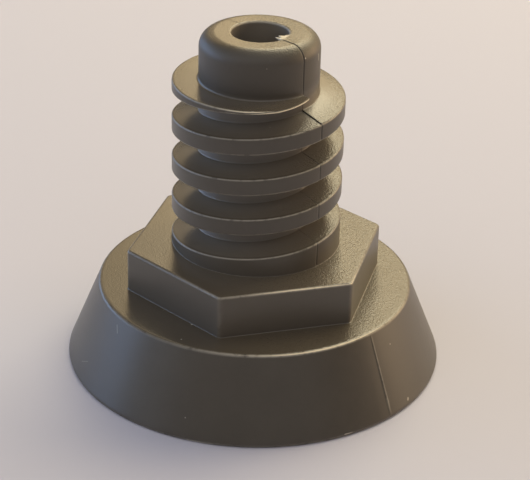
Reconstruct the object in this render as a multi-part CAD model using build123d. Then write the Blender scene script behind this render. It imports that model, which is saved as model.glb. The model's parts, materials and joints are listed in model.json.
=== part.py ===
"""A levelling foot for a dishwasher: one moulding with a conical base, a hexagon and a coarse thread.

Frame: the origin is the centre of the base's underside, +Z is up the thread's axis, and +X runs through
the hexagon corner that lies on the mould's seam. Lengths are millimetres and angles are degrees.
"""
from build123d import *
import os
from math import radians, sin, tan

# Conical base
base_diameter = 40.0
base_height = 8.7
base_lean_angle = 22.4
base_foot_bevel = 0.3
base_rim_bevel = 0.35

# Hexagon for a spanner
hexagon_across_flats = 24.0
hexagon_height = 4.6
hexagon_corner_radius = 0.6
hexagon_edge_radius = 0.4

# Thread: a coarse right-hand groove in a plain shank
crest_diameter = 17.7
core_diameter = 12.3
pitch = 4.4
crest_width = 1.7
upper_flank_angle = 13.0
lower_flank_angle = 14.0
crest_edge_bevel = 0.25
collar_height_at_seam = 2.6
shoulder_height = 31.4
run_out_depth = 0.4

# Pilot above the thread, and the hole down its axis
overall_height = 36.4
pilot_edge_radius = 1.7
bore_diameter = 5.8
bore_edge_bevel = 0.25

# Cored underside
base_wall = 2.6
hexagon_wall = 2.6
roof_thickness = 2.6

# How far a cutter reaches past the face that it cuts, and how far the thread's ribbon reaches into the core
overcut = 0.2
ribbon_root = 0.8

hexagon_top = base_height + hexagon_height
crest_radius = crest_diameter / 2
core_radius = core_diameter / 2
bore_radius = bore_diameter / 2
groove_width = pitch - crest_width
collar_top_at_seam = hexagon_top + collar_height_at_seam


def disc(radius, bottom, top):
    """A round bar on the axis between two heights."""
    return Pos(0, 0, bottom) * Cylinder(radius, top - bottom, align=(Align.CENTER, Align.CENTER, Align.MIN))


def cone_frustum(radius, height):
    """A cone with the base's lean, standing on the floor with the given radius there."""
    top_radius = radius - height * tan(radians(base_lean_angle))
    return Cone(radius, top_radius, height, align=(Align.CENTER, Align.CENTER, Align.MIN))


def base():
    """The truncated cone that stands on the floor, measured across the top of the bevel at its foot."""
    lean = radians(base_lean_angle)
    cone = cone_frustum(base_diameter / 2 + base_foot_bevel * sin(lean), base_height)
    cone = chamfer(cone.edges().filter_by(GeomType.CIRCLE).group_by(Axis.Z)[0], base_foot_bevel)
    return chamfer(cone.edges().filter_by(GeomType.CIRCLE).group_by(Axis.Z)[-1], base_rim_bevel)


def hexagon():
    """The spanner hexagon, one corner on +X, standing in the base so that the two fuse."""
    outline = RegularPolygon(hexagon_across_flats / 2, 6, major_radius=False)
    outline = fillet(outline.vertices(), hexagon_corner_radius)
    block = Pos(0, 0, base_height / 2) * extrude(outline, hexagon_top - base_height / 2)
    return fillet(block.faces().sort_by(Axis.Z)[-1].edges(), hexagon_edge_radius)


def groove_section():
    """The groove's outline in a plane through the axis.

    The first number of a point is its distance from the axis, and the second is how far it lies below the
    helix that the groove follows. Both flanks lean into the groove, which is narrower at the core than at
    the crest, and at the crest it flares at 45 degrees, which bevels the edges of the ridges.
    """
    floor_radius = core_radius - ribbon_root - overcut
    bevel_radius = crest_radius - crest_edge_bevel
    outer_radius = crest_radius + overcut
    rise = tan(radians(upper_flank_angle))
    drop = tan(radians(lower_flank_angle))
    flare = outer_radius - bevel_radius
    outline = Polyline(
        (floor_radius, (floor_radius - crest_radius) * rise),
        (bevel_radius, -crest_edge_bevel * rise),
        (outer_radius, -crest_edge_bevel * rise + flare),
        (outer_radius, crest_edge_bevel * drop - groove_width - flare),
        (bevel_radius, crest_edge_bevel * drop - groove_width),
        (floor_radius, (crest_radius - floor_radius) * drop - groove_width),
        close=True,
    )
    return make_face(outline)


def pilot():
    """The core of the thread, which carries on up as the pilot, with its hole and its rounded top edge."""
    tube = disc(core_radius, base_height, overall_height) - disc(bore_radius, base_height, overall_height)
    tube = fillet(tube.edges().group_by(Axis.Z)[-1].sort_by(SortBy.RADIUS)[-1], pilot_edge_radius)
    return chamfer(tube.edges().group_by(Axis.Z)[-1].sort_by(SortBy.RADIUS)[0], bore_edge_bevel)


def threaded_shank():
    """A plain shank cut by the groove, standing round the core.

    The groove starts at the seam on the far side of the axis, half a turn before +X, and climbs a
    right-hand helix until its lower edge is past the shoulder, where the shank is cut off flat. The last
    ridge thins out under that cut, and what is left of it ends at the seam on +X.
    """
    start = collar_top_at_seam - pitch / 2
    rise = shoulder_height + pitch - start
    radial_plane = Plane(origin=(0, 0, 0), x_dir=(1, 0, 0), z_dir=(0, 1, 0))
    groove = sweep(radial_plane * groove_section(), Helix(pitch, rise, crest_radius), is_frenet=True)
    groove = Pos(0, 0, start) * Rot(0, 0, 180) * groove
    shank_top = start + rise + pitch
    shank = disc(crest_radius, base_height, shank_top)
    shank = shank - disc(core_radius - ribbon_root, base_height, shank_top)
    thread = (shank - groove) & disc(crest_radius + overcut, base_height, shoulder_height)
    quarter = Box(crest_diameter, crest_diameter, run_out_depth, align=(Align.MIN, Align.MIN, Align.MAX))
    return thread - Pos(0, 0, shoulder_height) * quarter + pilot()


def underside():
    """What is cored out from below: a recess in the base, one in the hexagon, and the hole's lower end."""
    wide = cone_frustum(base_diameter / 2 - base_wall, base_height - roof_thickness)
    narrow = disc(hexagon_across_flats / 2 - hexagon_wall, 0, hexagon_top - roof_thickness)
    return wide + narrow + disc(bore_radius, 0, hexagon_top)


foot = base() + hexagon() + threaded_shank() - underside()

os.makedirs("parts", exist_ok=True)
export_step(foot, "parts/levelling_foot.step")
print("levelling_foot", len(foot.solids()), "solid", round(foot.volume), "mm3", foot.bounding_box().size)
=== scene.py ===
# %% [markdown]
# # A levelling foot for a dishwasher
#
# The foot is one moulding in dark plastic: a conical base, a hexagon for a spanner, a coarse thread, and a
# plain round pilot with a hole in its top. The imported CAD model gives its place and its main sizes. This
# lesson replaces that model's faceted skin with a finer one that has rounded edges, the mould's seam and
# the marks of use, then gives it a finish, a floor, light and a camera.

# %% Load the frame
import json

import bmesh
import bpy
import numpy as np
from mathutils import Matrix, Vector

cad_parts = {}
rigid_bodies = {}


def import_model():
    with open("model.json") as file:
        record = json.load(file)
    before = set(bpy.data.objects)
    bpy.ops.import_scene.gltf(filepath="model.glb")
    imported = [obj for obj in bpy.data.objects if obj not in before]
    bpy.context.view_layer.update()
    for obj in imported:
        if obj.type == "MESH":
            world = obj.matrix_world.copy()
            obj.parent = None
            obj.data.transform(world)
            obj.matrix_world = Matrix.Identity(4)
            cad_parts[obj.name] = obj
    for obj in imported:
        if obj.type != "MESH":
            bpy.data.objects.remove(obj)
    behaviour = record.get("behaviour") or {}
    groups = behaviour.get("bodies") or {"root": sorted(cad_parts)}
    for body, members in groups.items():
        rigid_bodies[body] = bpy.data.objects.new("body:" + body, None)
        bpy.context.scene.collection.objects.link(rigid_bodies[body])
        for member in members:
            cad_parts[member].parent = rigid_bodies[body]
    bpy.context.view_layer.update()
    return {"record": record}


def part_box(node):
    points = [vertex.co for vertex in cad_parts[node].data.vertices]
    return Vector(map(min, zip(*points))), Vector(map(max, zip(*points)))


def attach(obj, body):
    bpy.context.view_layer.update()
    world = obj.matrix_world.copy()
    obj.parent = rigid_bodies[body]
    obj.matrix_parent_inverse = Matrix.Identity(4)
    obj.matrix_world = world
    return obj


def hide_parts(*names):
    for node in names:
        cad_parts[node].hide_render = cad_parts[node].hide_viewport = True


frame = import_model()

# %% [markdown]
# ## Sizes
#
# Everything below is worked out in millimetres and turned into metres when it becomes a mesh. The height,
# the base's radius, the hole and the shoulder come from the frame. The other main sizes repeat the CAD
# model's, which were read off the photograph through its camera, apart from the underside's: that doesn't
# show, so they are guesses. Roundings and small details, such as the seam, were matched to the photograph.

# %% Read the main sizes from the frame
MM = 0.001
low, high = (np.array(corner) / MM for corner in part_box("levelling_foot"))
mounts = {mount["name"]: mount for mount in frame["record"]["mounts"]}

top = high[2]
base_radius = min(high[0], high[1])
bore_radius = mounts["axial_hole"]["dims"]["r_mm"]
shoulder = mounts["thread"]["pos_m"][2] / MM
print("node from", low.round(3), "to", high.round(3), "mm")
print("top", top, "base radius", base_radius, "hole", bore_radius, "shoulder", shoulder)

# %% [markdown]
# ## Columns of points
#
# The whole foot is close to a turned shape, so its skin can be a grid: columns go round the axis, and rows
# go along a profile. The same columns serve every part of the skin, so that neighbouring patches meet
# point to point and can be welded. They stand closer together at the hexagon's corners, and closest at
# the two seams where the halves of the mould met, on +X and on -X.

# %% Choose the columns
seam_start = 180.0
even = np.arange(0.0, 360.0, 2.0)
corner_half_fan = np.array([0.25, 0.55, 0.9, 1.25, 1.7, 2.6])
seam_half_fan = np.array([0.04, 0.15, 0.4, 0.7, 1.05, 1.45, 2.1, 3.2])
corner_fan = np.concatenate([-corner_half_fan[::-1], [0.0], corner_half_fan])
seam_fan = np.concatenate([-seam_half_fan[::-1], seam_half_fan])
hexagon_fans = (60.0 * np.arange(6)[:, None] + corner_fan).ravel()
seam_fans = (180.0 * np.arange(2)[:, None] + seam_fan).ravel()
offsets = np.unique(np.round(np.concatenate([even, hexagon_fans % 360, seam_fans % 360]), 3))
column_angle = seam_start + offsets
print(len(column_angle), "columns")

# %% [markdown]
# ## Rounded profiles
#
# A moulding has no sharp edges, and it is the rounded ones that catch the light. A bevel modifier could
# round them, but it would also touch the seam and the thin run-out of the thread. So each profile is
# drawn as straight runs whose corners are already rounded by true arcs. The same rows also note where an
# outer edge is: there the colour is made paler, partly for the wear of handling and partly as a painted
# highlight.

# %% Draw a path with rounded corners
tiny = 1e-9
inner_run_share, end_run_share = 0.48, 0.95
sharpest_half_turn = 1.4
guard_gap, most_guard = 0.06, 0.2
least_worn_and_lit_turn, widest_worn_and_lit_round = 0.3, 0.6


def rounded_path(corners, radii, rows_per_run, rows_per_arc=5):
    """Rows of points along straight runs with rounded corners, one path for each column, and their wear.

    corners has the shape (corner, column, 2): distance from the axis, and height. At a corner the path
    turns by an angle, and an arc of the given radius starts and ends radius * tan(turn / 2) away from it,
    or less where the runs are short. The arc is a rational quadratic curve whose middle weight,
    cos(turn / 2), makes it a circle's. A guard row close to each arc keeps smooth shading flat on the
    runs. A path has its material on the left, so a left turn is an outer edge: if its arc is a small one,
    the second array rises along the arc as the square of a sine to 1 in the middle. Elsewhere it is 0.
    That array makes the edge's colour paler, for rubbing from use and as a painted highlight.
    """
    run = np.diff(corners, axis=0)
    length = np.linalg.norm(run, axis=2, keepdims=True)
    way = run / np.maximum(length, tiny)
    last = len(corners) - 1
    unmarked = np.zeros(corners.shape[1])
    reach, weight, outer = [np.zeros_like(length[0])], [None], [None]
    for k in range(1, last):
        half_turn = np.arccos(np.clip(np.sum(way[k - 1] * way[k], axis=1, keepdims=True), -1, 1)) / 2
        before = length[k - 1] * (end_run_share if k == 1 else inner_run_share)
        behind = length[k] * (end_run_share if k == last - 1 else inner_run_share)
        arc_reach = radii[k] * np.tan(np.minimum(half_turn, sharpest_half_turn))
        reach.append(np.minimum(arc_reach, np.minimum(before, behind)))
        weight.append(np.cos(half_turn))
        left_turn = way[k - 1][:, 0] * way[k][:, 1] - way[k - 1][:, 1] * way[k][:, 0]
        outer.append((left_turn > least_worn_and_lit_turn) * (radii[k] < widest_worn_and_lit_round))
    reach.append(np.zeros_like(length[0]))

    rows, wear = [corners[0]], [unmarked]
    for k in range(1, last + 1):
        start = corners[k - 1] + way[k - 1] * reach[k - 1]
        end = corners[k] - way[k - 1] * reach[k]
        straight = np.linalg.norm(end - start, axis=1, keepdims=True)
        guard = np.minimum(most_guard, guard_gap / np.maximum(straight, tiny))
        for step in np.linspace(0, 1, rows_per_run[k - 1]):
            rows.append(start + (end - start) * (guard + (1 - 2 * guard) * step))
            wear.append(unmarked)
        if k == last:
            rows.append(corners[k])
            wear.append(unmarked)
            break
        after = corners[k] + way[k] * reach[k]
        for s in np.linspace(0, 1, rows_per_arc):
            pull = 2 * weight[k] * s * (1 - s)
            share = (1 - s) ** 2 + pull + s ** 2
            rows.append(((1 - s) ** 2 * end + pull * corners[k] + s ** 2 * after) / share)
            # Paler edge colour: partly wear, partly a painted highlight.
            wear.append(outer[k] * np.sin(np.pi * s) ** 2)
    return np.stack(rows), np.stack(wear)


print("rounded paths: a guard row up to", guard_gap, "mm from each arc")

# %% [markdown]
# A few small helpers go with the paths: a corner that all the columns share, a soft step, a bell curve,
# and the distance from the seam. The edges are painted palest on one side, a little before the seam in
# front, partly for rubbing and partly as a painted highlight, so the last helper measures how far round a
# column stands from there.

# %% Make the small helpers
# Edge colour is palest on this side: partly rubbing, partly a painted highlight.
worn_and_lit_side = -20.0


def ring(radius, height):
    """One corner of a profile for every column: its distance from the axis and its height."""
    shape = column_angle.shape
    return np.stack([np.broadcast_to(radius, shape), np.broadcast_to(height, shape)], axis=1)


def smooth(value):
    """An S-shaped ramp: 0 up to 0, 1 from 1 on, and 3 t^2 - 2 t^3 between."""
    t = np.clip(value, 0, 1)
    return t * t * (3 - 2 * t)


def bell(distance, width):
    """A bell curve: 1 at distance 0, and exp(-1) a width away."""
    return np.exp(-(distance / width) ** 2)


def from_seam(radius, angle):
    """How far a point lies from the seam's plane, which holds the axis and +X."""
    return radius * np.sin(np.radians(angle))


def from_worn_and_lit_side(angle):
    """Degrees round the axis from the side whose edges are painted palest, for rubbing and as a painted
    highlight, between -180 and 180.
    """
    return (angle - worn_and_lit_side + 180) % 360 - 180


print("edges are rubbed most at", worn_and_lit_side, "degrees from the seam")

# %% [markdown]
# ## Base and hexagon
#
# From the hole's lower end the profile runs out along the hollow underside, round the foot's edge, up the
# cone, over the rim, and up the hexagon to the collar. Only the hexagon isn't round: there the distance
# from the axis depends on the column. The cone carries the mould's seam as a fine raised line, which is
# wider and paler towards the floor.

# %% Sizes of the base and the hexagon
base_top = 8.7
base_lean = np.radians(22.4)
foot_round = 0.3
rim_round = 0.42
recess_radius = 17.4
recess_roof = 6.1
hexagon_apothem = 12.0
hexagon_corner_round = 0.6
hexagon_edge_round = 0.28
hexagon_top = 13.3
hexagon_recess_radius = 9.4
hexagon_recess_roof = 10.7
collar_foot = hexagon_top + 0.15


def hexagon_radius(angle):
    """Distance from the axis to a hexagon with one corner on +X.

    On a flat it is the apothem over the cosine of the angle from the flat's middle. Near a corner it is
    the far crossing of the ray with the corner's circle, which touches both flats.
    """
    from_middle = np.radians(angle % 60 - 30)
    flat = hexagon_apothem / np.cos(from_middle)
    centre = (hexagon_apothem - hexagon_corner_round) / np.cos(np.pi / 6)
    from_corner = np.pi / 6 - np.abs(from_middle)
    across = np.maximum(hexagon_corner_round ** 2 - (centre * np.sin(from_corner)) ** 2, 0)
    rounded = centre * np.cos(from_corner) + np.sqrt(across)
    touch = np.arctan((hexagon_apothem - hexagon_corner_round) * np.tan(np.pi / 6) / hexagon_apothem)
    return np.where(np.abs(from_middle) > touch, rounded, flat)


print("hexagon:", 2 * hexagon_apothem, "mm across its flats,", 2 * hexagon_radius(0.0), "over its corners")

# %% Draw the lower body
crest_radius = 8.85
foot_corner = base_radius + foot_round * (np.tan(base_lean) + 1 / np.cos(base_lean) - 1)
hexagon_wall = hexagon_radius(column_angle)
lower_corners = np.stack([
    ring(bore_radius, hexagon_recess_roof),
    ring(hexagon_recess_radius, hexagon_recess_roof),
    ring(hexagon_recess_radius, recess_roof),
    ring(recess_radius - recess_roof * np.tan(base_lean), recess_roof),
    ring(recess_radius, 0.0),
    ring(foot_corner, 0.0),
    ring(foot_corner - base_top * np.tan(base_lean), base_top),
    ring(hexagon_wall, base_top),
    ring(hexagon_wall, hexagon_top),
    ring(crest_radius, hexagon_top),
    ring(crest_radius, collar_foot),
])
lower_radii = [0, 0.4, 0.3, 0.4, 0.15, foot_round, rim_round, 0.1, hexagon_edge_round, 0.05, 0]
lower_rows = [3, 3, 3, 3, 3, 7, 4, 3, 5, 2]
lower, lower_wear_and_highlight = rounded_path(lower_corners, lower_radii, lower_rows)
print("lower body:", lower.shape[0], "rows")

# %% [markdown]
# The raised line is a bell curve across the seam, lifted along the cone's normal. It fades out above the
# foot's edge and below the rim.

# %% Raise the line on the cone
cone_skin = 0.12
line_foot_top = 3.5
line_start, line_fade_in, line_fade_out = 0.45, 0.4, 0.3
line_width, line_foot_width = 0.10, 0.08
line_lift, line_foot_lift = 0.05, 0.07
lower_radius, lower_height = lower[..., 0], lower[..., 1]
on_cone = lower_radius > foot_corner - lower_height * np.tan(base_lean) - cone_skin
line_foot = smooth((line_foot_top - lower_height) / line_foot_top)
line_span = smooth((lower_height - line_start) / line_fade_in) * on_cone
line_span = line_span * smooth((base_top - line_fade_out - lower_height) / line_fade_out)
line = line_span * bell(from_seam(lower_radius, column_angle), line_width + line_foot_width * line_foot)
raised = line * (line_lift + line_foot_lift * line_foot)
lower = lower + raised[..., None] * np.array([np.cos(base_lean), np.sin(base_lean)])
print("raised line: up to", round(raised.max(), 3), "mm")

# %% [markdown]
# The rim and the hexagon's top edge are painted palest on the rubbed side, partly as wear and partly as a
# painted highlight. The foot's edge is paler evenly, the raised line most at its foot, and the hexagon's
# upright corners only a little.

# %% Wear the lower edges and paint their highlight
rim_reach = 0.5
# The rim's edge colour is palest on one side: rubbing and a painted highlight.
rim_wear_and_highlight, rubbed_rim_wear_and_highlight, rubbed_and_lit_rim_spread = 0.25, 1.3, 40.0
foot_wear_and_highlight = 0.4
line_wear_and_highlight, line_foot_wear_and_highlight = 0.25, 0.75
corner_wear_and_highlight, corner_spread, corner_skin = 0.12, 1.1, 0.02
rubbed_and_lit_rim = rim_wear_and_highlight + rubbed_rim_wear_and_highlight * bell(from_worn_and_lit_side(column_angle), rubbed_and_lit_rim_spread)
on_edge = np.where(lower_height > base_top - rim_reach, rubbed_and_lit_rim, foot_wear_and_highlight)
on_wall = np.abs(lower_radius - hexagon_wall) < corner_skin
on_corner = bell((column_angle + 30) % 60 - 30, corner_spread) * on_wall
on_line = line * (line_wear_and_highlight + line_foot_wear_and_highlight * line_foot)
# All of these make the edge colour paler: partly wear, partly a painted highlight.
lower_wear_and_highlight = np.maximum.reduce([lower_wear_and_highlight * on_edge, on_line, corner_wear_and_highlight * on_corner])
print("wear on the lower body: up to", round(lower_wear_and_highlight.max(), 2))

# %% [markdown]
# ## Thread
#
# The thread is a groove that climbs a right-hand helix round a plain shank. It starts at the seam behind,
# just above the hexagon, and the shank is cut off flat at the shoulder, where the last ridge thins out.
# A screw modifier could carry one profile round, but here the profile changes as it goes: the shoulder
# cuts it, and the groove has a shallow start. So the profile is a function of the angle too. One strip
# runs from the middle of one ridge over the groove to the middle of the next, five turns long, and each
# turn's upper border is the next turn's lower border.

# %% Sizes of the thread
core_radius = 6.15
pitch = 4.4
crest_width = 1.7
groove_width = pitch - crest_width
upper_flank, lower_flank = np.radians(13.0), np.radians(14.0)
thread_depth = crest_radius - core_radius
upper_fall = thread_depth * np.tan(upper_flank)
lower_fall = thread_depth * np.tan(lower_flank)
crest_round, root_round = 0.19, 0.12
groove_start_height = 13.7
border, border_share = 0.25, 0.45
thin_room = 0.3
turns = 5


def groove_height(angle):
    """Height of the groove's lower edge on the crest: it climbs by the pitch in each turn."""
    return groove_start_height + pitch * (angle - seam_start) / 360


run_out_angle = seam_start + 360 * (shoulder - groove_width - groove_start_height) / pitch
run_out_end = 360 * np.ceil(run_out_angle / 360)


def thinness(room):
    """0 where the shoulder leaves a ridge its crest, and 1 where it has cut the ridge thin."""
    return smooth((groove_width + thin_room - room) / thin_room)


def ridge_end(room, angle):
    """Reach of the ridge over the groove, and its border, with this much room from groove to shoulder.

    The shoulder leaves of the ridge what lies under its plane, and the ridge's lower flank leans, so the
    reach falls evenly from the crest to the core. What is left ends at the seam. The border between two
    turns of the strip lies on the crest, just under its upper edge. Where the ridge is cut so thin that
    no crest is left, the border moves in along the shoulder, so that the thin edge can be rounded.
    """
    reach = core_radius + (room - groove_width + lower_fall) / np.tan(lower_flank)
    reach = np.where(angle > run_out_end, core_radius, np.clip(reach, core_radius, crest_radius))
    thin = thinness(room)
    inset = thin * np.minimum(border, border_share * (reach - core_radius))
    upper_edge = np.minimum(pitch, room)
    border_height = np.maximum(np.minimum(groove_width, room), upper_edge - border * (1 - thin))
    return reach, reach - inset, border_height


print("groove:", round(groove_width, 2), "mm wide; the run-out ends at", run_out_end, "degrees")

# %% [markdown]
# The two halves of the mould part along Y. A helical flank falls away just past each seam, where a half
# of the mould could not leave it, so there the real flank is level along Y. That leaves a small step at
# the seam, and it gives the flank on the right of the seam its own, brighter facet.

# %% Work out what the mould filled
least_fill, most_fill = 0.1, 0.9
fill_rise_start, fill_rise = 1100.0, 300.0
foot_fillet, fillet_lead_in = 0.22, 12.0
fillet_start = seam_start + 360 * (shoulder - groove_start_height) / pitch


def seam_fill(radius, angle):
    """How far the mould filled the groove's lower flank just past each seam.

    Going in along Y from the seam, the flank first climbs with the helix and then falls with its lean. It
    is filled up to its highest point, which lies where both cancel out, or at the crest. The top turn is
    filled the most.
    """
    local = np.radians(angle % 180)
    x, y = radius * np.cos(local), radius * np.sin(local)
    climb = pitch / (2 * np.pi * np.tan(upper_flank))
    peak = np.sqrt((-x ** 2 + np.sqrt(x ** 4 + 4 * climb ** 2 * x ** 2)) / 2)
    peak = np.minimum(peak, np.sqrt(np.maximum(crest_radius ** 2 - x ** 2, 0)))
    peak_angle, peak_radius = np.arctan2(peak, x), np.hypot(x, peak)
    lift = pitch * (peak_angle - local) / (2 * np.pi) + (radius - peak_radius) * np.tan(upper_flank)
    gain = least_fill + (most_fill - least_fill) * smooth((angle - fill_rise_start) / fill_rise)
    return np.where((x > 0) & (y < peak), gain * np.maximum(lift, 0), 0)


def pilot_foot(angle):
    """Width of the fillet between the shoulder and the pilot, growing in where the shoulder starts."""
    since = (angle - fillet_start) % 360
    return foot_fillet * smooth(since / fillet_lead_in) * (since <= (run_out_end - fillet_start) % 360)


print("fillet at the pilot's foot:", foot_fillet, "mm wide")

# %% [markdown]
# Now the strip itself. Its rows are a rounded path in each column, and its columns are the same ones as
# before, wound up five times.

# %% Draw the thread
groove_lead_in = 3.0
thin_edge, thinnest_ridge = 0.16, 0.1


def thread_strip(angle):
    """The strip from one ridge to the next, as rows of distance and height for each unwound angle.

    Heights are first counted from the groove's lower edge, w. The corners are the edge of the ridge below
    (w = 0), the groove's floor (on the core), and the edge of the ridge above (w = groove width). Nothing
    stands above the shoulder, so w is limited to the room left under it.
    """
    room = shoulder - groove_height(angle)
    _, border_below, height_below = ridge_end(room + pitch, angle - 360)
    reach_above, border_above, height_above = ridge_end(room, angle)
    inner = np.where(room > 0, core_radius, core_radius + pilot_foot(angle))
    inner = np.minimum(inner, border_below)
    reach_above = np.where(room > 0, reach_above, inner)
    border_above = np.where(room > 0, border_above, inner)
    edge_below = np.minimum(0, room)
    floor_low = np.where(room > 0, upper_fall, room)
    floor_high = np.minimum(groove_width - lower_fall, np.maximum(room, floor_low))
    blunt = thin_edge * thinness(room) * (reach_above > core_radius + thinnest_ridge)
    foot_above = np.maximum(np.minimum(groove_width, room) - blunt, floor_high)
    corners = np.stack([
        np.stack([border_below, height_below - pitch], axis=1),
        np.stack([border_below, edge_below], axis=1),
        np.stack([inner, floor_low], axis=1),
        np.stack([inner, floor_high], axis=1),
        np.stack([reach_above, foot_above], axis=1),
        np.stack([border_above, height_above], axis=1),
    ])
    radii = [0, crest_round, root_round, root_round, crest_round, 0]
    rows, wear = rounded_path(corners, radii, [2, 6, 4, 5, 4])
    radius, w = rows[..., 0], rows[..., 1]
    floor_share = (groove_width - lower_fall - w) / (groove_width - lower_fall - upper_fall)
    w = np.minimum(w + seam_fill(radius, angle) * np.clip(floor_share, 0, 1), room)
    depth = smooth((angle - seam_start) / groove_lead_in)
    radius = crest_radius - depth * (crest_radius - radius)
    return np.stack([radius, groove_height(angle) + w], axis=2), wear


thread_angle = (column_angle + 360 * np.arange(turns)[:, None]).ravel()
thread_angle = np.append(thread_angle, seam_start + 360 * turns)
thread, thread_wear_and_highlight = thread_strip(thread_angle)
print("thread:", thread.shape[0], "rows,", thread.shape[1], "columns")

# %% [markdown]
# The crests' edges are painted paler like the rim, partly as wear and partly as a painted highlight,
# and the edge at the shoulder up to twice as much.

# %% Wear the crests and paint their highlight
# Paler crest edges: partly wear, partly a painted highlight.
crest_wear_and_highlight, rubbed_crest_wear_and_highlight, rubbed_and_lit_crest_spread = 0.45, 0.5, 55.0
shoulder_edge, rubbed_and_lit_shoulder_spread = 0.35, 90.0
round_from_worn_and_lit = from_worn_and_lit_side(thread_angle)
thread_wear_and_highlight = thread_wear_and_highlight * (crest_wear_and_highlight + rubbed_crest_wear_and_highlight * bell(round_from_worn_and_lit, rubbed_and_lit_crest_spread))
at_shoulder = thread[..., 1] > shoulder - shoulder_edge
thread_wear_and_highlight = thread_wear_and_highlight * np.where(at_shoulder, 1 + bell(round_from_worn_and_lit, rubbed_and_lit_shoulder_spread), 1)
print("wear on the thread: up to", round(thread_wear_and_highlight.max(), 2))

# %% [markdown]
# Along the seam the crests are nicked: the halves of the mould met there, and the edge was trimmed.

# %% Nick the crests at the seam
nick_depth, nick_width = 0.05, 0.08
nick_root = 0.5


def seam_nick(radius, angle):
    """Depth of the nick: a bell curve of the distance from the seam's plane."""
    return nick_depth * bell(from_seam(radius, angle), nick_width)


thread_nick = seam_nick(thread[..., 0], thread_angle)
thread[..., 0] -= thread_nick * smooth((thread[..., 0] - core_radius - nick_root) / nick_root)
print("deepest nick:", round(thread_nick.max(), 3), "mm")

# %% [markdown]
# ## Collar
#
# Below the groove's first turn the shank stays plain: that is the collar. It is a wedge that widens as
# the groove climbs. Its rows fan out from the point where the groove starts, and after one full turn they
# meet the strip's first column, row by row.

# %% Draw the collar
collar_angle = np.append(column_angle, seam_start + 360)
collar_share = (thread[:, 0, 1] - thread[0, 0, 1]) / (thread[-1, 0, 1] - thread[0, 0, 1])
collar_top = groove_height(collar_angle) - border
collar_height = collar_foot + collar_share[:, None] * (collar_top - collar_foot)
collar = np.stack([np.full_like(collar_height, crest_radius), collar_height], axis=2)
collar[..., 0] -= seam_nick(crest_radius, collar_angle)
lower[-1, :, 0] -= seam_nick(crest_radius, column_angle)
collar[:, -1] = thread[:, 0]
collar[0] = lower[-1, np.append(np.arange(len(column_angle)), 0)]
collar[-1] = thread[0, :len(collar_angle)]
collar_wear_and_highlight = np.zeros(collar.shape[:2])
print("collar:", collar.shape[0], "rows, up to", round(collar_top[-1], 2), "mm")

# %% [markdown]
# ## Pilot and hole
#
# The core of the thread carries on up as the pilot. Its top edge is well rounded, and a hole goes down
# its axis. The seam shows here as a fine groove, and at the hole's mouth a sliver of flash was left on it.
# The groove could be cut with a boolean, but a dent in the rows keeps the grid whole.

# %% Draw the pilot
pilot_edge_round = 1.7
bore_edge_round = 0.25
seam_depth, seam_width, far_seam_share, seam_foot = 0.06, 0.075, 0.25, 0.3
pilot_corners = np.stack([
    ring(core_radius + pilot_foot(column_angle), shoulder),
    ring(core_radius, shoulder),
    ring(core_radius, top),
    ring(bore_radius, top),
    ring(bore_radius, hexagon_recess_roof),
])
pilot_radii = [0, foot_fillet, pilot_edge_round, bore_edge_round, 0]
pilot, pilot_wear_and_highlight = rounded_path(pilot_corners, pilot_radii, [2, 8, 5, 12], rows_per_arc=10)


def cut_seam(rows, angle):
    """Sinks a fine groove along the seam: a bell curve of the distance from the seam's plane.

    The groove goes in along the profile's own normal, which is the profile's direction turned by a right
    angle. On the far side of the axis it is shallower.
    """
    way = np.gradient(rows, axis=0)
    way = way / np.maximum(np.linalg.norm(way, axis=2, keepdims=True), tiny)
    side = np.where(np.cos(np.radians(angle)) > 0, 1.0, far_seam_share)
    above_foot = smooth((rows[..., 1] - shoulder - seam_foot) / seam_foot)
    sink = seam_depth * side * above_foot * bell(from_seam(rows[..., 0], angle), seam_width)
    return rows - sink[..., None] * np.stack([way[..., 1], -way[..., 0]], axis=2)


pilot = cut_seam(pilot, column_angle)
print("pilot:", pilot.shape[0], "rows")

# %% [markdown]
# The flash is a ragged shelf, level with the top, that reaches in from the hole's edge just past the
# seam. A sine wave round the hole makes its edge ragged.

# %% Leave the flash at the hole's mouth
flash_reach, flash_depth, flash_lift = 0.85, 0.34, 0.7
flash_angle, flash_lead_in, flash_lead_out = 34.0, 2.0, 10.0
flash_root, flash_root_fade, flash_under_fade = 0.28, 0.25, 0.08
ragged_waves, ragged_share, ragged_phase = 23, 0.28, 1.0
past_seam = (column_angle + 180) % 360 - 180
ragged = 1 - ragged_share + ragged_share * np.sin(np.radians(past_seam) * ragged_waves + ragged_phase)
flash_span = smooth((past_seam + flash_lead_in / 2) / flash_lead_in)
flash_span = flash_span * smooth((flash_angle - past_seam) / flash_lead_out) * ragged
below_top = top - pilot[..., 1]
at_mouth = smooth((flash_depth - below_top) / flash_under_fade)
at_mouth = at_mouth * smooth((bore_radius + flash_root - pilot[..., 0]) / flash_root_fade)
flash = flash_span * at_mouth
pilot[..., 0] -= flash_reach * flash
pilot[..., 1] += flash_lift * below_top * flash
print("flash reaches in to", round(pilot[..., 0].min(), 2), "mm from the axis")

# %% [markdown]
# ## One skin
#
# The four patches are put into one mesh and welded where they meet, which gives a closed skin. The last
# turn of the strip has shrunk to the pilot's foot by then, so its faces vanish in the weld.

# %% Make grids of points and faces
def place(rows, angle):
    """Points in metres from rows of distance and height: the distance is turned round the axis."""
    turn = np.radians(angle)
    x, y = rows[..., 0] * np.cos(turn), rows[..., 0] * np.sin(turn)
    return np.stack([x, y, rows[..., 1]], axis=2) * MM


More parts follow.
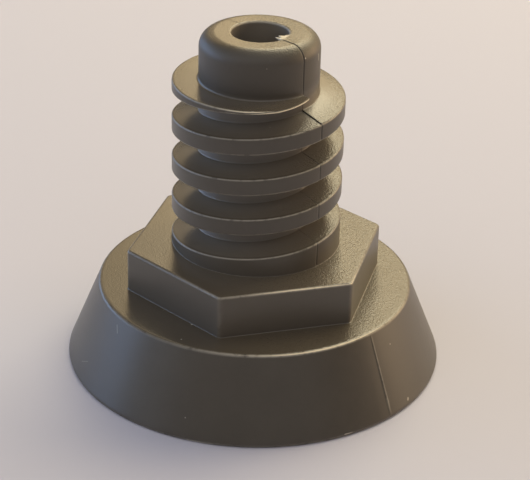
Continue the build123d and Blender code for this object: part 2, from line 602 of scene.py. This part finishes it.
def grid_quads(row_count, column_count, closed):
    """Corner numbers of a grid's quads; a closed grid joins its last column to its first."""
    row = np.arange(row_count - 1)[:, None]
    column = np.arange(column_count if closed else column_count - 1)[None, :]
    here, beside = row * column_count + column, row * column_count + (column + 1) % column_count
    return np.stack([here, beside, beside + column_count, here + column_count], axis=2).reshape(-1, 4)


lower_faces = grid_quads(len(lower), len(column_angle), closed=True)
print("faces of the lower body:", len(lower_faces))

# %% [markdown]
# Points closer than the weld's gap become one. Edges that turn by more than the sharp angle stay crisp
# under smooth shading. The finished piece rides on the foot's only body and stands in for the CAD node.

# %% Weld the skin
weld_gap = 2e-7
sharp_angle = np.radians(32)
patches = [(lower, lower_wear_and_highlight, column_angle, True), (collar, collar_wear_and_highlight, collar_angle, False),
           (thread, thread_wear_and_highlight, thread_angle, False), (pilot, pilot_wear_and_highlight, column_angle, True)]
points, wear, quads, first = [], [], [], 0
for rows, row_wear_and_highlight, angle, closed in patches:
    points.append(place(rows, angle).reshape(-1, 3))
    wear.append(row_wear_and_highlight.ravel())
    quads.append(grid_quads(rows.shape[0], rows.shape[1], closed) + first)
    first += points[-1].shape[0]

skin_mesh = bpy.data.meshes.new("foot_skin")
skin_mesh.from_pydata(np.concatenate(points).tolist(), [], np.concatenate(quads).tolist())
# This attribute carries the paler edge colour: partly wear, partly a painted highlight.
skin_mesh.attributes.new("wear", "FLOAT", "POINT").data.foreach_set("value", np.concatenate(wear))
weld = bmesh.new()
weld.from_mesh(skin_mesh)
bmesh.ops.remove_doubles(weld, verts=weld.verts, dist=weld_gap)
bmesh.ops.recalc_face_normals(weld, faces=weld.faces)
open_edges = sum(not edge.is_manifold for edge in weld.edges)
weld.to_mesh(skin_mesh)
weld.free()
skin_mesh.shade_smooth()
skin_mesh.set_sharp_from_angle(angle=sharp_angle)

foot = bpy.data.objects.new("foot_skin", skin_mesh)
bpy.context.collection.objects.link(foot)
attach(foot, "root")
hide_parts("levelling_foot")
print("skin:", len(skin_mesh.vertices), "points,", len(skin_mesh.polygons), "faces")
print("open edges:", open_edges)

# %% [markdown]
# ## Shader maths
#
# A finish is a graph of nodes. Written node by node it is long and hard to read, so one small class wraps
# a socket and lets ordinary arithmetic add the Math nodes.

# %% Wrap a socket
class Value:
    """A number or colour that changes over a surface; arithmetic on it adds Math nodes to its finish."""

    def __init__(self, finish, socket):
        self.finish = finish
        self.socket = socket

    def math(self, operation, *values):
        """A Math node with these values on its sockets, in order."""
        return self.finish.node("ShaderNodeMath", {"operation": operation}, dict(enumerate(values)))

    def __add__(self, other):
        return self.math("ADD", self, other)

    def __sub__(self, other):
        return self.math("SUBTRACT", self, other)

    def __rsub__(self, other):
        return self.math("SUBTRACT", other, self)

    def __mul__(self, other):
        return self.math("MULTIPLY", self, other)

    __radd__ = __add__
    __rmul__ = __mul__


print("socket arithmetic: +, - and *, also with a number first")

# %% [markdown]
# The other nodes come from one method, which takes a node's type, its settings and its sockets. A few
# patterns are built on it: a soft step, noise, a mix of colours, and a streak for a single mark.

# %% Build nodes
streak_core = 0.4


class Finish:
    """A material under construction; node() adds one node and returns one of its outputs as a Value."""

    def __init__(self, name):
        self.material = bpy.data.materials.new(name)
        self.material.use_nodes = True
        self.tree = self.material.node_tree
        self.tree.nodes.clear()

    def node(self, kind, settings, inputs, output=0):
        """A node of this type, with its settings made first, then its sockets set or linked."""
        made = self.tree.nodes.new(kind)
        for name, setting in settings.items():
            setattr(made, name, setting)
        for name, value in inputs.items():
            if isinstance(value, Value):
                self.tree.links.new(value.socket, made.inputs[name])
            else:
                made.inputs[name].default_value = value
        return Value(self, made.outputs[output]) if made.outputs else None

    def band(self, value, start, end):
        """A smooth step from 0 at start to 1 at end; start may be the larger one."""
        sockets = {"Value": value, "From Min": start, "From Max": end}
        return self.node("ShaderNodeMapRange", {"interpolation_type": "SMOOTHSTEP"}, sockets)

    def band_mm(self, length, start, end):
        """The same step for a length on the foot, with its ends in millimetres."""
        return self.band(length, start * MM, end * MM)

    def noise(self, place, scale, detail=3.0):
        """Soft random grey, with about this many lumps in a metre."""
        return self.node("ShaderNodeTexNoise", {}, {"Vector": place, "Scale": scale, "Detail": detail})

    def mix(self, share, start, end):
        """A colour between two others."""
        return self.node("ShaderNodeMix", {"data_type": "RGBA"}, {0: share, 6: start, 7: end}, output=2)

    def vector(self, operation, first, second, output=0):
        """A Vector Math node with two inputs."""
        return self.node("ShaderNodeVectorMath", {"operation": operation}, {0: first, 1: second}, output)

    def streak(self, place, start, end, radius):
        """1 along the line between two points in millimetres, falling to 0 at a radius from it.

        The nearest point of the line is start + share * (end - start), where the share is the projection
        of the place on the line, kept between 0 and 1.
        """
        start, end = np.array(start) * MM, np.array(end) * MM
        along = end - start
        scaled = along / max(along @ along, tiny * tiny)
        away = self.vector("SUBTRACT", place, start.tolist())
        share = self.vector("DOT_PRODUCT", away, scaled.tolist(), output="Value")
        share = self.node("ShaderNodeClamp", {}, {"Value": share})
        stretch = {0: along.tolist(), "Scale": share}
        nearest = self.node("ShaderNodeVectorMath", {"operation": "SCALE"}, stretch)
        distance = self.vector("DISTANCE", away, nearest, output="Value")
        return self.band_mm(distance, radius, streak_core * radius)


print("a streak is full within", streak_core, "of its radius")

# %% [markdown]
# ## Dark plastic
#
# The plastic is charcoal with a trace of brown, and satin rather than shiny. One flat colour would look
# like a toy, so four things vary it: a slow unevenness from the mould; a lighter tone on the faces that
# look up and in the sheltered grooves, partly dust and partly painted light; pale edges, partly rubbed
# and partly a painted highlight; and the dirt that the seam holds. An image could carry all that, but
# patterns worked out from the place on the foot stay sharp from any distance.

# %% Read the place on the foot
plastic = Finish("charcoal_plastic")
where = plastic.node("ShaderNodeTexCoord", {}, {}, output="Object")
east = plastic.node("ShaderNodeSeparateXYZ", {}, {"Vector": where}, output="X")
north = plastic.node("ShaderNodeSeparateXYZ", {}, {"Vector": where}, output="Y")
level = plastic.node("ShaderNodeSeparateXYZ", {}, {"Vector": where}, output="Z")
in_plan = plastic.vector("MULTIPLY", where, (1, 1, 0))
off_axis = plastic.vector("LENGTH", in_plan, (0, 0, 0), output="Value")
facing = plastic.node("ShaderNodeNewGeometry", {}, {}, output="Normal")
upward = plastic.node("ShaderNodeSeparateXYZ", {}, {"Vector": facing}, output="Z")
# The wear attribute makes edges paler: partly rubbing, partly a painted highlight.
wear_and_highlight_map = plastic.node("ShaderNodeAttribute", {"attribute_name": "wear"}, {}, output="Fac")
print("patterns follow the place on the foot, the way a face looks, and the wear")

# %% [markdown]
# Noise comes at three scales, from clouds as wide as a ridge down to a grain that is only just seen. The
# faces that look up are painted lighter, partly as settled dust and partly as painted light.

# %% Make the noise
cloud = plastic.noise(where, 260.0)
mottle = plastic.noise(where, 1500.0)
grain = plastic.noise(where, 5600.0, detail=1.0)
# Faces that look up: later mixed lighter in colour, partly dust and partly painted light.
faces_up = plastic.band(upward, 0.8, 1.0)
# Paler edges: partly rubbing, partly a painted highlight.
rubbed_and_highlit = wear_and_highlight_map * plastic.band(mottle, 0.2, 0.55)
print("noise and wear:", len(plastic.tree.nodes), "nodes")

# %% [markdown]
# More is painted lighter where the surface is sheltered: in the thread's groove, and most where the
# flank meets the core, in the hole, and round the hexagon. This is partly dust where nothing wipes it
# away, and partly painted light that lifts the shade there. The shoulder gets less of it, and so does
# the groove on the right.

# %% Find the sheltered places and paint light into them
# These lighten the groove, the hole and the hexagon: partly dust, partly painted light over their shade.
crest_dust_and_light, core_less_dust_and_light, groove_dust_and_light = 0.4, 0.3, 0.5
shoulder_less_dust_and_light, right_less_dust_and_light, hexagon_dust_and_light = 0.6, 0.3, 0.2
rightward = east + north
on_thread = plastic.band_mm(level, hexagon_top + 0.1, hexagon_top + 0.9)
on_thread = on_thread * plastic.band_mm(level, shoulder + 0.6, shoulder + 0.1)
on_thread = on_thread * (1 - shoulder_less_dust_and_light * plastic.band_mm(level, shoulder - 0.5, shoulder - 0.1))
in_groove = on_thread * plastic.band_mm(off_axis, crest_radius - 0.45, core_radius + 0.45)
under_crest = plastic.band_mm(off_axis, crest_radius - 0.1, crest_radius - 0.45)
on_core = plastic.band_mm(off_axis, core_radius + 0.25, core_radius + 0.05)
thread_dust_and_light = on_thread * (crest_dust_and_light * under_crest - core_less_dust_and_light * on_core) + in_groove * groove_dust_and_light
thread_dust_and_light = thread_dust_and_light * (1 - right_less_dust_and_light * plastic.band_mm(rightward, 6.0, 11.0))
in_hole = plastic.band_mm(off_axis, bore_radius + 0.15, bore_radius - 0.05)
near_hexagon = plastic.band_mm(level, hexagon_top + 3.7, hexagon_top + 0.2)
near_hexagon = near_hexagon * plastic.band_mm(level, base_top - 0.1, base_top + 0.3)
# Painted light: a lighter colour in the groove, the hole and round the hexagon, together with dust.
dust_and_painted_light = thread_dust_and_light + in_hole + near_hexagon * hexagon_dust_and_light
print("sheltered places:", len(plastic.tree.nodes), "nodes so far")

# %% [markdown]
# The seam in front is a dark line from the collar up, faint at first and black on the top ridges.

# %% Follow the seam
seam_dirt_edge, seam_dirt_core = 0.075, 0.02
low_seam_dirt = 0.25
near_seam = plastic.band_mm(north.math("ABSOLUTE", north), seam_dirt_edge, seam_dirt_core)
near_seam = near_seam * plastic.band_mm(east, 0.0, 0.5)
seam_dirt = near_seam * plastic.band_mm(level, hexagon_top + 0.05, hexagon_top + 0.3)
seam_dirt = seam_dirt * (low_seam_dirt + (1 - low_seam_dirt) * plastic.band_mm(level, 20.0, 29.0))
print("seam:", len(plastic.tree.nodes), "nodes so far")

# %% [markdown]
# The photograph also shows single marks: a nick under the rim, scratches along the foot's edge, and
# specks of lint. Each is a short streak at its own place: two ends and a radius in millimetres, and a
# strength. Smaller specks are the centres of random cells that happen to lie in the surface. The glint
# is a painted highlight: a pale patch on the flash at the hole, which is also torn and pale there.

# %% Place the marks
mark_lines = [
    ((-3.24, -16.62, 7.74), (-2.83, -16.96, 7.11), 0.09, 0.35),
    ((8.73, -17.97, 0.17), (9.94, -17.32, 0.16), 0.10, 0.7),
    ((9.94, -17.32, 0.16), (11.08, -16.62, 0.16), 0.10, 0.6),
    ((19.07, -5.95, 0.35), (19.25, -5.10, 0.35), 0.09, 0.8),
    ((19.56, 3.09, 0.77), (19.55, 3.15, 0.85), 0.20, 0.6),
    ((7.96, -17.48, 2.21), (7.96, -17.48, 2.21), 0.10, 0.6),
    ((17.21, 2.49, 6.64), (17.21, 2.49, 6.64), 0.12, 0.5),
    ((-7.73, -17.75, 1.85), (-6.46, -17.97, 2.49), 0.07, 0.25),
    ((6.08, 0.23, 35.25), (6.08, 0.23, 35.25), 0.12, 0.8),
    ((3.08, -12.11, 8.72), (3.08, -12.11, 8.72), 0.12, 0.8),
    ((4.51, -14.84, 8.70), (4.51, -14.84, 8.70), 0.10, 0.8),
    ((10.16, 12.0, 8.70), (10.16, 12.0, 8.70), 0.12, 0.9),
    ((5.52, 2.70, 34.89), (5.49, 2.77, 34.23), 0.09, 0.8),
    ((5.6, -6.6, 31.35), (5.7, -6.5, 31.38), 0.12, 0.6),
]
marks = sum(plastic.streak(where, start, end, radius) * strength
            for start, end, radius, strength in mark_lines)
cell = plastic.node("ShaderNodeTexVoronoi", {}, {"Vector": where, "Scale": 380.0}, output="Distance")
specks = plastic.band(cell, 0.026, 0.012)
# A pale patch at the flash paints its glint, together with the torn pale plastic.
flash_skin = top - 0.03
flash_patch_and_glint = plastic.streak(where, (2.50, 0.30, flash_skin), (2.10, 1.3, flash_skin), 0.75)
print("marks:", len(mark_lines))

# %% [markdown]
# The colours are laid over each other in order: plastic, dust with painted light on the tops and in the
# grooves, dirt, rubbed edges with a painted highlight, marks, and the flash's painted glint.

# %% Mix the colours
dark_charcoal, pale_charcoal = (0.046, 0.038, 0.028, 1), (0.066, 0.056, 0.043, 1)
# Both dust colours are partly dust and partly painted light: the first lifts the tops, the second the
# grooves.
brown_dust_and_top_light, grey_dust_and_groove_light = (0.10, 0.080, 0.052, 1), (0.170, 0.150, 0.124, 1)
seam_black = (0.012, 0.010, 0.008, 1)
# Pale edge colours: rubbed plastic and a painted highlight; the palest is mostly the painted highlight.
rubbed_and_highlit_grey, bare_and_highlit_edge = (0.34, 0.31, 0.25, 1), (0.80, 0.70, 0.50, 1)
mark_grey, torn_flash_and_glint = (0.42, 0.39, 0.33, 1), (0.62, 0.57, 0.46, 1)
bare = plastic.mix(cloud * 0.6 + mottle * 0.4, dark_charcoal, pale_charcoal)
# Painted light on the faces that look up, mixed with dust.
dusty_and_lit = plastic.mix(faces_up * 0.4, bare, brown_dust_and_top_light)
# Lighter in sheltered places: dust, and painted light that lifts their shade.
dusty_and_lit = plastic.mix(dust_and_painted_light, dusty_and_lit, grey_dust_and_groove_light)
dirty = plastic.mix(seam_dirt * 0.85, dusty_and_lit, seam_black)
edged = plastic.mix(rubbed_and_highlit * 0.85, dirty, rubbed_and_highlit_grey)
# The palest edges are mostly a painted highlight.
edged = plastic.mix(plastic.band(wear_and_highlight_map, 0.8, 1.5), edged, bare_and_highlit_edge)
marked = plastic.mix(marks + specks * 0.5, edged, mark_grey)
# Painted glint: the flash's pale patch.
colour = plastic.mix(flash_patch_and_glint, marked, torn_flash_and_glint)
print("colours:", len(plastic.tree.nodes), "nodes so far")

# %% [markdown]
# The faces that look up are glossier than the walls, and the pilot's wall is the dullest. The grain is
# strong on the faces that look up. It is weaker on the cone, as where a mould is polished, in the groove,
# and on the left.

# %% Set the gloss and the grain
satin, top_gloss, pilot_dullness, unevenness, dirt_dullness = 0.31, 0.16, 0.14, 0.06, 0.2
wall_grain, left_grain, cone_calm, groove_calm = 0.12, 0.3, 0.6, 0.7
grain_depth = 0.05 * MM
on_pilot = plastic.band_mm(level, shoulder + 0.2, shoulder + 1.2)
roughness = satin + on_pilot * pilot_dullness - faces_up * (top_gloss + on_pilot * pilot_dullness)
roughness = roughness + cloud * unevenness + mottle * unevenness + seam_dirt * dirt_dullness
polished = plastic.band_mm(level, base_top + 0.05, base_top - 0.15)
rough_side = left_grain + (1 - left_grain) * plastic.band_mm(rightward, -6.0, 3.0)
grainy = wall_grain + (1 - wall_grain) * plastic.band(upward, 0.4, 0.85)
height = grain * rough_side * grainy * (1 - polished * cone_calm) * (1 - in_groove * groove_calm)
bump = plastic.node("ShaderNodeBump", {}, {"Strength": 1.0, "Distance": grain_depth, "Height": height})
surface = plastic.node("ShaderNodeBsdfPrincipled", {}, {
    "Base Color": colour, "Roughness": roughness, "IOR": 1.58, "Normal": bump})
plastic.node("ShaderNodeOutputMaterial", {}, {"Surface": surface})
skin_mesh.materials.append(plastic.material)
print("plastic:", len(plastic.tree.nodes), "nodes")

# %% [markdown]
# ## Floor
#
# A plain pale floor, large enough to fill the view and to throw soft light back up on to the foot.

# %% Make the floor
floor_reach = 1.5
floor_mesh = bpy.data.meshes.new("floor")
floor_corners = np.array([(-1, -1, 0), (1, -1, 0), (1, 1, 0), (-1, 1, 0)]) * floor_reach
floor_mesh.from_pydata(floor_corners.tolist(), [], [(0, 1, 2, 3)])
floor = bpy.data.objects.new("floor", floor_mesh)
bpy.context.collection.objects.link(floor)

paper = Finish("pale_floor")
pale = (0.55, 0.55, 0.64, 1)
matt = paper.node("ShaderNodeBsdfPrincipled", {}, {"Base Color": pale, "Roughness": 0.9})
paper.node("ShaderNodeOutputMaterial", {}, {"Surface": matt})
floor_mesh.materials.append(paper.material)
print("floor:", 2 * floor_reach, "m wide")

# %% [markdown]
# ## Light
#
# The light in the photograph comes from behind: upward faces shine, and the front lies in soft shade.
# Each face mirrors its own part of the surroundings, so one lamp can't do it. Warm panels behind the foot
# light its tops, a higher one lights the flanks and the rounded edges, and one overhead evens them out. A
# warm panel on the right and a cool one on the left tint the cone's two sides. Two large weak panels, on
# the left and in front, and a dim even surrounding fill the shade.

# %% Set up the light
def panel(name, heading, elevation, distance, size, colour, radiance):
    """A soft panel that faces the foot; its power is radiance times pi times its area."""
    across = np.radians(heading)
    up = np.radians(elevation)
    place = Vector((np.cos(across) * np.cos(up), np.sin(across) * np.cos(up), np.sin(up))) * distance
    light = bpy.data.lights.new(name, "AREA")
    light.shape = "RECTANGLE"
    light.size, light.size_y = size
    light.color = colour
    light.energy = radiance * np.pi * size[0] * size[1]
    holder = bpy.data.objects.new(name, light)
    holder.matrix_world = Matrix.Translation(place) @ place.to_track_quat("Z", "Y").to_matrix().to_4x4()
    bpy.context.collection.objects.link(holder)


panel("back_panel", 103.0, 29.0, 0.8, (0.98, 0.48), (1.0, 0.76, 0.42), 2.0)
panel("back_left_panel", 151.0, 28.0, 0.8, (0.48, 0.52), (1.0, 0.74, 0.42), 0.8)
panel("high_panel", 106.0, 48.0, 0.8, (0.7, 0.42), (1.0, 0.91, 0.64), 4.4)
panel("top_panel", 135.0, 80.0, 0.8, (0.5, 0.5), (1.0, 0.93, 0.85), 0.8)
panel("right_panel", 64.0, 12.0, 0.8, (0.65, 0.34), (1.0, 0.70, 0.42), 4.6)
panel("left_panel", 200.0, 6.0, 0.9, (1.1, 0.30), (0.40, 0.61, 1.0), 4.0)
panel("left_fill", 225.0, 22.0, 0.9, (1.4, 0.5), (0.80, 0.88, 1.0), 1.0)
panel("front_panel", 315.0, 48.0, 0.9, (1.8, 1.1), (1.0, 0.93, 0.88), 0.8)

world = bpy.data.worlds.new("surrounding")
world.use_nodes = True
surrounding = world.node_tree.nodes["Background"].inputs
surrounding["Color"].default_value = (1.0, 1.0, 1.0, 1)
surrounding["Strength"].default_value = 0.06
bpy.context.scene.world = world
bpy.context.scene.view_settings.view_transform = "Standard"
print("lights:", [item.name for item in bpy.data.lights])

# %% [markdown]
# ## Camera
#
# The camera was fitted to the outlines in the photograph: it stands in front and to the right of the
# foot, looks down at it, and is rolled by about a degree.

# %% Place the camera
camera_data = bpy.data.cameras.new("camera")
camera_data.sensor_fit = "HORIZONTAL"
camera_data.sensor_width = 36.0
camera_data.lens = 117.75
camera_data.clip_start = 0.01
camera = bpy.data.objects.new("camera", camera_data)
camera_place = Vector((114.36, -116.14, 97.72))
heading, look_down, sideways, roll = 44.56, 27.475, -0.315, 1.284
camera.matrix_world = Matrix.Translation(camera_place * MM)
for degrees, axis in [(heading, "Z"), (90 - look_down, "X"), (sideways, "Y"), (roll, "Z")]:
    camera.matrix_world = camera.matrix_world @ Matrix.Rotation(np.radians(degrees), 4, axis)
bpy.context.collection.objects.link(camera)
bpy.context.scene.camera = camera
print("camera at", [round(value, 4) for value in camera.location])
